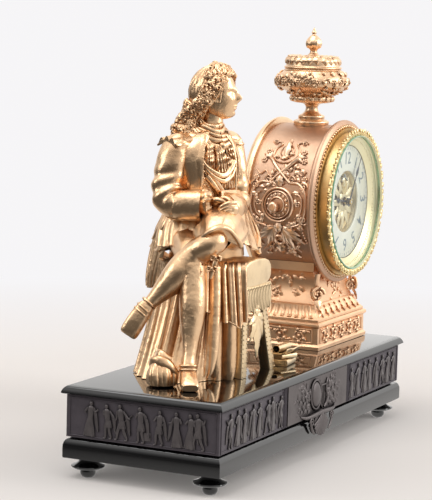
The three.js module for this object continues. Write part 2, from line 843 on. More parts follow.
// Urn on the drum: foot, bowl and lid are turned castings on one stud
const urnBottom = drumZ + drumRadius;
const urnLevel = (up) => urnBottom + up * urnHeight;
const urnSides = 18;
const urnPiece = (shares, inner) => {
  const profile = shares.map(([r, up]) => [r * urnRadius, urnLevel(up)]);
  const low = [inner, profile[0][1]];
  const high = [inner, profile[profile.length - 1][1]];
  const closed = inner ? [low, ...profile, high, low] : [low, ...profile, high];
  return turned(closed, urnSides).translate([drumX, 0, 0]);
};
const urnBore = urnStudRadius + runningGap;
const footProfileShares = [
  [0.46, -0.04], [0.46, 0], [0.34, 0.04], [0.18, 0.11], [0.23, 0.18], [0.5, 0.19], [0.57, 0.225],
  [0.5, 0.25],
];
const bowlGapShare = 0.003;
const bowlProfileShares = [
  [0.55, 0.25 + bowlGapShare], [0.61, 0.28], [0.86, 0.32], [1, 0.385], [0.98, 0.43], [0.78, 0.53],
];
const lidProfileShares = [
  [0.8, 0.53 + bowlGapShare], [0.84, 0.56], [0.84, 0.62], [0.7, 0.66], [0.19, 0.7], [0.1, 0.74],
  [0.23, 0.79], [0.23, 0.85], [0.08, 0.91], [0.08, 0.95], [0.02, 1],
];
const urnStudTop = urnLevel(0.66);
const urnStud = post(urnStudRadius, urnLevel(0.1), urnStudTop, drumX);
add(root, "urn_foot", join(cut(urnPiece(footProfileShares, 0), drumSpace), urnStud), copperBronze);
add(root, "urn_bowl", urnPiece(bowlProfileShares, urnBore), copperBronze);
const lid = cut(
  urnPiece(lidProfileShares, 0),
  post(urnBore, urnLevel(0.5), urnStudTop + runningGap, drumX),
);
add(root, "urn_lid", lid, copperBronze);

// Dial: everything from here to the movement is placed from the dial's centre
const at = (solid) => solid.translate([drumX, 0, drumZ]);
const ringOf = (points, sides = fineSides) => lathe([...points, points[0]], sides);

const panBore = panRadius - panWall;
const lipBack = frontRingFace - seatGap;
const panFloor = panBack - panLipThickness;
const panPoints = [
  [panRadius, panFront],
  [panRadius, lipBack - panLipThickness],
  [panLipRadius, lipBack - panLipThickness],
  [panLipRadius, lipBack],
  [panRadius, lipBack],
  [panRadius, panBack],
  [panBackHole, panBack],
  [panBackHole, panFloor],
  [panBore, panFloor],
  [panBore, panFront],
];
const dialFootCircle = (plateRadius + panBackHole) / 2;
const dialFeet = [45, 135, 225, 315].map((angle) => {
  const turn = THREE.MathUtils.degToRad(angle);
  return bar(
    pillarRadius,
    panBack - panLipThickness / 2,
    frontPlateY - seatGap,
    dialFootCircle * Math.cos(turn),
    dialFootCircle * Math.sin(turn),
    8,
  );
});
const hingeY = panFront;
const bezelAxisX = bezelHingeX;
const panKnuckles = fixedKnuckles.map(([z0, z1]) =>
  knuckle(
    bezelAxisX,
    hingeY,
    z0 - drumZ,
    z1 - drumZ,
    panRadius - panWall / 2,
    bezelAxisX - knuckleBore - seatGap,
    hingeY,
    hingeY + knuckleRadius,
  ),
);
add(root, "dial_pan", at(join(ringOf(panPoints), ...dialFeet, ...panKnuckles)), brass);

const sashLip = panBore - seatGap;
const sashFront = panFront + seatGap;
const sashBack = dialFace - seatGap;
const sash = ringOf([
  [sashLip, sashFront],
  [sashInner + 2 * sheetThickness, sashBack],
  [sashInner, sashBack],
  [sashLip - 2 * sheetThickness, sashFront],
]);
add(root, "dial_sash", at(sash), gilt);

const dialBack = dialFace + dialThickness;
const windingPlaces = [[windingX, windingZ], [-windingX, windingZ]];
const chapterRing = cut(
  ringOf([
    [dialOpening, dialFace],
    [dialRadius, dialFace],
    [dialRadius, dialBack],
    [dialOpening, dialBack],
  ]),
  ...windingPlaces.map(([x, z]) => bar(windingHoleRadius, dialFace - overrun, dialBack + overrun, x, z)),
);
add(root, "dial_ring", at(chapterRing), porcelain);

// Recessed centre plate: a shallow dish behind the dial's opening
const hourPipeRadius = centreArborRadius + runningGap + pipeWall;
const dishWall = dialOpening - seatGap;
const dishFlange = (dialOpening + windingCircle - windingArborRadius) / 2;
const dishFlangeFront = dialBack + seatGap;
const centreBack = centreFace + sheetThickness;
const centreDish = cut(
  ringOf([
    [hourPipeRadius + runningGap, centreFace],
    [dishWall - sheetThickness, centreFace],
    [dishWall - sheetThickness, dishFlangeFront],
    [dishFlange, dishFlangeFront],
    [dishFlange, dishFlangeFront + sheetThickness],
    [dishWall, dishFlangeFront + sheetThickness],
    [dishWall, centreBack],
    [hourPipeRadius + runningGap, centreBack],
  ]),
  ...[escapeZ, anchorZ].map((z) =>
    bar(arborRadius + runningGap, centreFace - overrun, centreBack + overrun, 0, z, studSides),
  ),
);
add(root, "dial_centre", at(centreDish), gilt);

// Bezel: a cast ring that opens on a hinge at three o'clock, with the glass in its rabbet
const bezelBack = panFront - seatGap;
const bezelFront = bezelBack - bezelDepth;
const rabbetRadius = bezelOpening + bezelRabbet;
const bezelWidth = bezelRadius - bezelOpening;
const bezelBody = ringOf([
  [rabbetRadius, bezelBack],
  [bezelRadius, bezelBack],
  [bezelRadius, bezelBack - bezelDepth / 2],
  [bezelRadius - bezelWidth / 4, bezelFront],
  [bezelOpening + bezelWidth / 3, bezelFront],
  [bezelOpening, bezelFront + 2 * bezelLip],
  [rabbetRadius, bezelFront + 2 * bezelLip],
]);
const bezelKnuckle = knuckle(
  bezelAxisX,
  hingeY,
  movingKnuckle[0] - drumZ,
  movingKnuckle[1] - drumZ,
  bezelRadius - bezelWidth / 2,
  bezelAxisX - knuckleBore - seatGap,
  hingeY - knuckleRadius,
  hingeY - seatGap,
);
add(root, "bezel_ring", at(join(bezelBody, bezelKnuckle)), brass);
const glassRadius = rabbetRadius - seatGap;
const glassFront = bezelFront + 2 * bezelLip + seatGap;
const glassBack = glassFront + glassThickness;
const pane = lathe(
  [
    [0, glassFront],
    [glassRadius, glassFront],
    [glassRadius, glassBack],
    [0, glassBack],
  ],
  fineSides,
);
add(root, "bezel_glass", at(pane), glass);
add(
  root,
  "bezel_hinge_pin",
  at(post(hingePinRadius, -knuckleHalfLength, knuckleHalfLength, bezelAxisX, hingeY, pinSides)),
  steel,
);

// Movement plates, held by the feet of the dial pan
const greatPitch = (greatTeeth * trainModule) / 2;
const wheelPitch = (wheelTeeth * trainModule) / 2;
const pinionPitch = (pinionLeaves * trainModule) / 2;
const upperWheelPitch = (wheelTeeth * upperModule) / 2;
const upperPinionPitch = (pinionLeaves * upperModule) / 2;
const lowerReach = greatPitch + pinionPitch;
const middleReach = wheelPitch + pinionPitch;
const upperReach = upperWheelPitch + upperPinionPitch;

// The point at distance a from p and b from q, to the left of the line from p to q for side 1
function meshPoint(p, q, a, b, side) {
  const dx = q[0] - p[0];
  const dz = q[1] - p[1];
  const span = Math.hypot(dx, dz);
  const along = (a * a - b * b + span * span) / (2 * span);
  const off = side * Math.sqrt(a * a - along * along);
  return [p[0] + (along * dx - off * dz) / span, p[1] + (along * dz + off * dx) / span];
}

const polar = (from, radius, degrees) => {
  const turn = THREE.MathUtils.degToRad(degrees);
  return [from[0] + radius * Math.cos(turn), from[1] + radius * Math.sin(turn)];
};

const centre = [0, 0];
const going = [windingX, windingZ];
const strike = [-windingX, windingZ];
const escape = [0, escapeZ];
const pallets = [0, anchorZ];
const middle = meshPoint(going, centre, lowerReach, middleReach, -1);
const third = meshPoint(centre, escape, upperReach, upperReach, 1);
const strikeMiddle = polar(strike, lowerReach, 100);
const strikeUpper = polar(strikeMiddle, middleReach, 70);
const fly = polar(strikeUpper, upperReach, 100);
const hammerPivot = hammerShares.map((share) => share * plateRadius);
const hammerTurn = -THREE.MathUtils.degToRad(hammerDrop);
const hammerHead = polar(hammerPivot, hammerLength, -hammerDrop);
const gongInner = Math.hypot(...hammerHead) + hammerHeadRadius + gongWire + strikeClearance;
const gongOuter = gongInner + gongBand;
const minuteReach = ((cannonTeeth + minuteWheelTeeth) * motionModule) / 2;
const hourModule = (2 * minuteReach) / (minutePinionTeeth + hourWheelTeeth);
const minuteStud = [0, -minuteReach];

const pivotGap = runningGap / 2;
const plateHoles = (y0, y1, places) =>
  places.map(([[x, z], radius]) => bar(radius + pivotGap, y0 - overrun, y1 + overrun, x, z, pinSides));
const throughBoth = [
  [centre, centreArborRadius],
  [going, windingArborRadius],
  [strike, windingArborRadius],
  [middle, arborRadius],
  [third, arborRadius],
  [escape, arborRadius],
  [pallets, arborRadius],
  [strikeMiddle, arborRadius],
  [strikeUpper, arborRadius],
  [fly, arborRadius],
  [hammerPivot, arborRadius],
];
const frontPlate = cut(
  join(
    bar(plateRadius, frontPlateY, plateBack, 0, 0, plateSides),
    bar(arborRadius, centreBack + runningGap, frontPlateY + plateThickness / 2, ...minuteStud, studSides),
  ),
  ...plateHoles(frontPlateY, plateBack, throughBoth),
);
add(root, "front_plate", at(frontPlate), brass);

const backPlateBack = backPlateY + plateThickness;
const rodY = backPlateBack + rodPlane;
const gongY = backPlateBack + gongPlane;
const pillarPlaces = [0, 90, 180, 270].map((angle) => polar(centre, plateRadius - pillarInset, angle));
const cockWidth = 4 * arborRadius;
const cockZ = anchorZ + 2 * cockWidth;
const backPlate = cut(
  join(
    bar(plateRadius, backPlateY, backPlateBack, 0, 0, plateSides),
    ...pillarPlaces.map(([x, z]) =>
      bar(pillarRadius, plateBack + seatGap, backPlateY + seatGap, x, z, pinSides),
    ),
    box(
      -cockWidth / 2,
      cockWidth / 2,
      backPlateBack - seatGap,
      rodY + arborRadius,
      cockZ,
      cockZ + cockWidth,
    ),
  ),
  ...plateHoles(backPlateY, backPlateBack, throughBoth),
);
add(root, "back_plate", at(backPlate), brass);

// Arbor ends: inside both plates' holes, flush with their outer faces
const arborFront = frontPlateY;
const arborBack = backPlateBack;
const level = (up) => plateBack + up * plateGap;
const halfTurn = Math.PI;

// Phases: a tooth of one wheel faces a gap of the next on the line between their centres
const bearing = (from, to) => Math.atan2(to[1] - from[1], to[0] - from[0]);
function meshed(driver, driverPhase, driverTeeth, follower, followerTeeth) {
  const line = bearing(driver, follower);
  const offset = ((line - driverPhase) * driverTeeth) / followerTeeth;
  return line + halfTurn + offset + halfTurn / followerTeeth;
}

const wheelAt = (teeth, module, phase, [x, z], y0, thickness) =>
  gear({ teeth, module, phase, y0, y1: y0 + thickness, x, z });

const barrelFront = level(0.12);
const greatFront = barrelFront + barrelLength;
const greatBack = greatFront + wheelThickness;
const middleFront = greatBack + 2 * wheelThickness;
const pinionReach = wheelThickness / 2;
const goingPhase = bearing(going, middle);
const strikePhase = bearing(strike, strikeMiddle);
const windingFront = dialBack + runningGap;
const ratchetBack = frontPlateY - runningGap;
for (const [name, place, phase] of [
  ["going", going, goingPhase],
  ["strike", strike, strikePhase],
]) {
  const [x, z] = place;
  const barrel = cut(
    join(
      bar(barrelRadius, barrelFront, greatFront + pinionReach, x, z, discSides),
      wheelAt(greatTeeth, trainModule, phase, place, greatFront, wheelThickness),
    ),
    bar(windingArborRadius + pivotGap, barrelFront - overrun, greatBack + overrun, x, z, roundSides),
  );
  add(root, `${name}_barrel`, at(barrel), brass);
  const arbor = join(
    bar(windingArborRadius, windingFront, arborBack, x, z, roundSides),
    toothedRim({
      teeth: ratchetTeeth,
      radius: ratchetRadius,
      depth: ratchetRadius / 6,
      lean: 0.15,
      y0: ratchetBack - wheelThickness,
      y1: ratchetBack,
      x,
      z,
    }),
  );
  add(root, `${name}_winding_arbor`, at(arbor), steel);
}

const middlePhase = meshed(going, goingPhase, greatTeeth, middle, pinionLeaves);
const arborAt = ([x, z], y0 = arborFront, y1 = arborBack, radius = arborRadius) =>
  bar(radius, y0, y1, x, z, pinSides);
const pinionLength = wheelThickness + 2 * pinionReach;
const intermediate = join(
  arborAt(middle),
  wheelAt(pinionLeaves, trainModule, middlePhase, middle, greatFront - pinionReach, pinionLength),
  wheelAt(wheelTeeth, trainModule, middlePhase, middle, middleFront, wheelThickness),
);
add(root, "intermediate_wheel", at(intermediate), brass);

const centrePhase = meshed(middle, middlePhase, wheelTeeth, centre, pinionLeaves);
const centreWheelFront = level(0.3);
const cannonFront = centreBack + motionSpace * 0.36;
const cannonBack = centreBack + motionSpace * 0.8;
const motionWheel = motionSpace * 0.2;
const hourWheelFront = centreBack + motionSpace * 0.08;
const minuteWheelFront = centreBack + motionSpace * 0.5;
const hourHandY = dialFace - 2 * sheetThickness;
const minuteHandY = hourHandY - 2.5 * sheetThickness;
const nutFront = minuteHandY - 2 * sheetThickness;
const minuteDirection = THREE.MathUtils.degToRad(58);
const hourDirection = THREE.MathUtils.degToRad(175);
const centreArbor = join(
  arborAt(centre, nutFront, arborBack, centreArborRadius),
  wheelAt(pinionLeaves, trainModule, centrePhase, centre, middleFront - pinionReach, pinionLength),
  wheelAt(wheelTeeth, upperModule, centrePhase, centre, centreWheelFront, wheelThickness),
  wheelAt(cannonTeeth, motionModule, centrePhase, centre, cannonFront, cannonBack - cannonFront),
);
add(root, "centre_arbor", at(centreArbor), steel);

const thirdPhase = meshed(centre, centrePhase, wheelTeeth, third, pinionLeaves);
const thirdWheelFront = level(0.46);
const thirdWheel = join(
  arborAt(third),
  wheelAt(pinionLeaves, upperModule, thirdPhase, third, centreWheelFront - pinionReach, pinionLength),
  wheelAt(wheelTeeth, upperModule, thirdPhase, third, thirdWheelFront, wheelThickness),
);
add(root, "third_wheel", at(thirdWheel), brass);

const escapePhase = meshed(third, thirdPhase, wheelTeeth, escape, pinionLeaves);
const escapePlane = (dialFace + centreFace) / 2;
const escapeWheel = join(
  arborAt(escape, escapePlane - sheetThickness),
  wheelAt(pinionLeaves, upperModule, escapePhase, escape, thirdWheelFront - pinionReach, pinionLength),
  toothedRim({
    teeth: escapeTeeth,
    radius: escapeRadius,
    depth: escapeRadius / 6,
    lean: 0.25,
    y0: escapePlane - sheetThickness / 2,
    y1: escapePlane + sheetThickness / 2,
    x: 0,
    z: escapeZ,
  }),
);
add(root, "escape_wheel", at(escapeWheel), brass);

// Motion work behind the dial's centre: cannon pinion, minute wheel and hour wheel
const minutePhase = meshed(centre, centrePhase, cannonTeeth, minuteStud, minuteWheelTeeth);
const minutePinionFront = centreBack + runningGap;
const minuteWheel = cut(
  join(
    wheelAt(minuteWheelTeeth, motionModule, minutePhase, minuteStud, minuteWheelFront, motionWheel),
    wheelAt(
      minutePinionTeeth,
      hourModule,
      minutePhase,
      minuteStud,
      minutePinionFront,
      minuteWheelFront - minutePinionFront + motionWheel / 2,
    ),
  ),
  bar(arborRadius + pivotGap, minutePinionFront - overrun, frontPlateY, ...minuteStud, studSides),
);
add(root, "minute_wheel", at(minuteWheel), brass);

const hourPhase = meshed(minuteStud, minutePhase, minutePinionTeeth, centre, hourWheelTeeth);
const hourBore = centreArborRadius + pivotGap;
const hourWheel = cut(
  join(
    wheelAt(hourWheelTeeth, hourModule, hourPhase, centre, hourWheelFront, motionWheel),
    bar(hourPipeRadius, hourHandY - sheetThickness / 2, hourWheelFront + motionWheel, 0, 0, pipeSides),
  ),
  bar(hourBore, nutFront, hourWheelFront + motionWheel + overrun, 0, 0, pipeSides),
);
add(root, "hour_wheel", at(hourWheel), brass);

// Hands: an open ring near the tip on a tapering stem
function hand(length, turn, bore, y0) {
  const stemShares = [
    [0, 0.5], [0.5, 0.22], [0.62, 0.95], [0.7, 1.1], [0.78, 0.7], [0.84, 0.3], [1, 0.04],
  ];
  const half = handHub;
  const left = stemShares.map(([along, out]) => [along * length, out * half]);
  const right = [...left].reverse().map(([along, out]) => [along, -out]);
  const blade = join(
    plate([...left, ...right], y0, y0 + handThickness),
    bar(handHub, y0, y0 + handThickness, 0, 0, discSides),
  );
  const pierced = cut(
    blade,
    bar(bore, y0 - overrun, y0 + overrun, 0, 0, pipeSides),
    bar(handHub * 0.55, y0 - overrun, y0 + overrun, 0.7 * length, 0, roundSides),
  );
  return pierced.rotate([0, -THREE.MathUtils.radToDeg(turn), 0]);
}
add(
  root,
  "hour_hand",
  at(hand(hourHandLength, hourDirection, hourPipeRadius + pivotGap, hourHandY)),
  blued,
);
add(
  root,
  "minute_hand",
  at(hand(minuteHandLength, minuteDirection, centreArborRadius + pivotGap, minuteHandY)),
  blued,
);
const nutRadius = 2 * centreArborRadius;
const handNut = cut(
  bar(nutRadius, nutFront, minuteHandY - pivotGap, 0, 0, roundSides),
  bar(centreArborRadius + pivotGap, nutFront - overrun, minuteHandY + overrun, 0, 0, pinSides),
);
add(root, "hand_nut", at(handNut), brass);

// Pallets with a pin on each side of the escape wheel, on an arbor that carries the crutch at the back
const palletCircle = escapeRadius + palletRadius + palletClearance;
const palletPins = [45, 135].map((angle) => polar(escape, palletCircle, angle));
const palletFront = escapePlane - sheetThickness / 2;
const palletBack = escapePlane + sheetThickness / 2;
const palletWidth = 2 * palletRadius;
const palletArms = palletPins.map(([x, z]) => {
  const tipX = x + Math.sign(x) * palletWidth;
  return plate(
    [
      [pallets[0], pallets[1] + palletWidth],
      [pallets[0], pallets[1] - palletWidth],
      [x, z + palletWidth],
      [x, z],
      [tipX, z],
      [tipX, z + 2 * palletWidth],
    ],
    palletFront,
    palletBack,
  );
});
const crutchY = backPlateBack + rodPlane / 2;
const anchor = join(
  arborAt(pallets, palletFront - sheetThickness, crutchY + arborRadius),
  bar(2 * arborRadius, palletFront, palletBack, ...pallets, roundSides),
  ...palletArms,
  ...palletPins.map(([x, z]) =>
    bar(palletRadius, palletFront - sheetThickness, palletBack + sheetThickness, x, z, pinSides),
  ),
  box(
    -arborRadius,
    arborRadius,
    crutchY - arborRadius / 2,
    crutchY + arborRadius / 2,
    anchorZ - 2 * bobRadius,
    anchorZ,
  ),
  box(
    -arborRadius,
    arborRadius,
    crutchY - arborRadius / 2,
    rodY - rodRadius - seatGap,
    anchorZ - 2 * bobRadius,
    anchorZ - 2 * bobRadius + 2 * arborRadius,
  ),
);
add(root, "pallet_anchor", at(anchor), steel);

const bobZ = anchorZ - bobDrop;
const bobShares = [[0, 0], [0.8, 0.12], [1, 0.4], [1, 0.6], [0.8, 0.88], [0, 1]];
const bobFront = rodY - bobThickness / 2;
const bobProfile = bobShares.map(([r, y]) => [r * bobRadius, bobFront + y * bobThickness]);
const bob = lathe(bobProfile, plateSides).translate([0, 0, bobZ]);
const pendulum = join(
  bob,
  post(rodRadius, bobZ - bobRadius - 2 * rodRadius, anchorZ, 0, rodY, pinSides),
  box(
    -rodRadius * 1.5,
    rodRadius * 1.5,
    rodY - rodRadius / 3,
    rodY + rodRadius / 3,
    anchorZ,
    cockZ - seatGap,
  ),
);
add(root, "pendulum", at(pendulum), brass);

// Strike train: great wheel, pin wheel, fly and hammer
const strikeMiddlePhase = meshed(strike, strikePhase, greatTeeth, strikeMiddle, pinionLeaves);
const pinionFront = greatFront - pinionReach;
const strikeIntermediate = join(
  arborAt(strikeMiddle),
  wheelAt(pinionLeaves, trainModule, strikeMiddlePhase, strikeMiddle, pinionFront, pinionLength),
  wheelAt(wheelTeeth, trainModule, strikeMiddlePhase, strikeMiddle, middleFront, wheelThickness),
);
add(root, "strike_intermediate_wheel", at(strikeIntermediate), brass);
const strikeUpperPhase = meshed(strikeMiddle, strikeMiddlePhase, wheelTeeth, strikeUpper, pinionLeaves);
const strikeWheelFront = level(0.2);
const upperPinionFront = middleFront - pinionReach;
const strikeWheel = join(
  arborAt(strikeUpper),
  wheelAt(pinionLeaves, trainModule, strikeUpperPhase, strikeUpper, upperPinionFront, pinionLength),
  wheelAt(wheelTeeth, upperModule, strikeUpperPhase, strikeUpper, strikeWheelFront, wheelThickness),
);
add(root, "strike_wheel", at(strikeWheel), brass);
const flyPhase = meshed(strikeUpper, strikeUpperPhase, wheelTeeth, fly, pinionLeaves);
const flyWidth = 2.5 * upperPinionPitch;
const flyPiece = join(
  arborAt(fly),
  wheelAt(pinionLeaves, upperModule, flyPhase, fly, strikeWheelFront - pinionReach, pinionLength),
  box(
    fly[0] - flyWidth,
    fly[0] + flyWidth,
    level(0.4),
    level(0.75),
    fly[1] - sheetThickness / 2,
    fly[1] + sheetThickness / 2,
  ),
);
add(root, "fly", at(flyPiece), brass);

const hammerY = backPlateBack + rodPlane;
const hammer = join(
  arborAt(hammerPivot, arborFront, hammerY + arborRadius),
  box(
    -arborRadius,
    hammerLength,
    hammerY - arborRadius,
    hammerY + arborRadius,
    -arborRadius,
    arborRadius,
  )
    .rotate([0, -THREE.MathUtils.radToDeg(hammerTurn), 0])
    .translate([hammerPivot[0], 0, hammerPivot[1]]),
  bar(hammerHeadRadius, hammerY - arborRadius, gongY + gongWire, ...hammerHead, roundSides),
);
add(root, "strike_hammer", at(hammer), steel);

// Gong: a flat coil of wire, with its outer end in a block on the drum's inside
const gongTurns = 3;
const gongSteps = 10;
const gongPoints = [];
for (let i = 0; i <= gongTurns * gongSteps; i += 1) {
  const turn = (2 * Math.PI * i) / gongSteps;
  const radius = gongInner + ((gongOuter - gongInner) * i) / (gongTurns * gongSteps);
  gongPoints.push([radius, turn]);
}
const gongRings = gongPoints.map(([radius, turn]) => {
  const out = new THREE.Vector3(Math.cos(turn), 0, Math.sin(turn));
  return Array.from({ length: nutSides }, (_, k) => {
    const angle = (2 * Math.PI * k) / nutSides;
    return out
      .clone()
      .multiplyScalar(radius + gongWire * Math.cos(angle))
      .add(new THREE.Vector3(0, gongY + gongWire * Math.sin(angle), 0));
  });
});
const blockHalf = 2 * gongWire;
const blockFoot = backPlateBack + seatGap;
const blockStep = gongOuter - 1.3 * gongWire;
const blockNeck = gongY - 1.5 * gongWire;
const gongBlock = join(
  box(plateRadius - 4 * gongWire, blockStep + gongWire, blockFoot, blockNeck, -blockHalf, blockHalf),
  box(blockStep, gongOuter + blockHalf, blockFoot, gongY + blockHalf, -blockHalf, blockHalf),
);
add(root, "gong", at(join(loft(gongRings), gongBlock)), steel);

// Stool: a padded seat with a fringed apron on two upright and two splayed legs
const seatTop = slabTop + stoolHeight;
const cushionBottom = seatTop - cushionHeight;
const apronBottom = cushionBottom - apronHeight;
const stoolBottom = slabTop + seatGap;
const cushionShares = [
  [0.86, 0.9, 1], [0.97, 0.98, 0.86], [1, 1, 0.5], [0.97, 0.98, 0.14], [0.9, 0.93, 0],
];
const cushion = tower(
  [...cushionShares].reverse().map(([x, y, up]) => [
    x * stoolHalfLength,
    y * stoolHalfDepth,
    cushionBottom + up * cushionHeight,
  ]),
  stoolX,
);
const apron = tower(
  [
    [stoolHalfLength * 0.9, stoolHalfDepth * 0.93, apronBottom],
    [stoolHalfLength * 0.95, stoolHalfDepth * 0.95, cushionBottom + mergeDistance],
  ],
  stoolX,
);
const legTop = cushionBottom;
const stoolLegs = [];
for (const side of [-1, 1]) {
  const y0 = side * (stoolHalfDepth * 0.95 - legWidth);
  const y1 = side * stoolHalfDepth * 0.95;
  const [low, high] = side < 0 ? [y1, y0] : [y0, y1];
  const front = stoolX - stoolHalfLength;
  const back = stoolX + stoolHalfLength * 0.6;
  stoolLegs.push(
    plate(
      [
        [front, stoolBottom],
        [front + 1.4 * legThickness, stoolBottom],
        [front + 1.6 * legThickness, legTop],
        [front + 0.5 * legThickness, legTop],
      ],
      low,
      high,
    ),
    plate(
      [
        [back + legSplay, stoolBottom],
        [back + legSplay + 1.6 * legThickness, stoolBottom],
        [back + legThickness, legTop],
        [back - 0.2 * legThickness, legTop],
      ],
      low,
      high,
    ),
  );
}
const leafZ = apronBottom - leafDrop;
const leaves = [-1, 1].map((side) => {
  const leafY = side * (stoolHalfDepth * 0.95 - legWidth / 3);
  return plate(
    [
      [stoolX - legWidth / 2, apronBottom + legWidth / 2],
      [stoolX - 1.2 * legWidth, (apronBottom + leafZ) / 2],
      [stoolX + legWidth * 0.2, leafZ],
      [stoolX + legWidth, (apronBottom + leafZ) / 2],
      [stoolX + legWidth / 2, apronBottom + legWidth / 2],
    ],
    Math.min(leafY, leafY + (side * legWidth) / 4),
    Math.max(leafY, leafY + (side * legWidth) / 4),
  );
});
add(root, "stool", join(cushion, apron, ...stoolLegs, ...leaves), gilt);

// Books and a rolled sheet at the foot of the stool
const stoolEdge = stoolX + stoolHalfLength * 0.6 + legSplay + 1.6 * legThickness;
const floorSpace = drumX - plinthHalfLength - stoolEdge;
const bookShare = 0.2875;
const bookGapShare = 0.045;
const bookLength = bookShare * floorSpace;
const bookX = stoolEdge + bookGapShare * floorSpace + bookLength / 2;
const bookY = -stoolHalfDepth * 0.95;
const books = join(
  box(
    bookX - bookLength / 2,
    bookX + bookLength / 2,
    bookY - bookWidth / 2,
    bookY + bookWidth / 2,
    stoolBottom,
    stoolBottom + bookHeight,
  ),
  box(-bookLength / 2.4, bookLength / 2.4, -bookWidth / 2.4, bookWidth / 2.4, 0, bookHeight * 0.8)
    .rotate([0, 0, 20])
    .translate([bookX, bookY, stoolBottom + bookHeight - mergeDistance]),
  rod(
    bookHeight / 2,
    bookX - bookLength / 2,
    bookX + bookLength / 2,
    bookY,
    stoolBottom + bookHeight * 2.1,
    studSides,
  ),
);
add(root, "books_and_scroll", books, gilt);

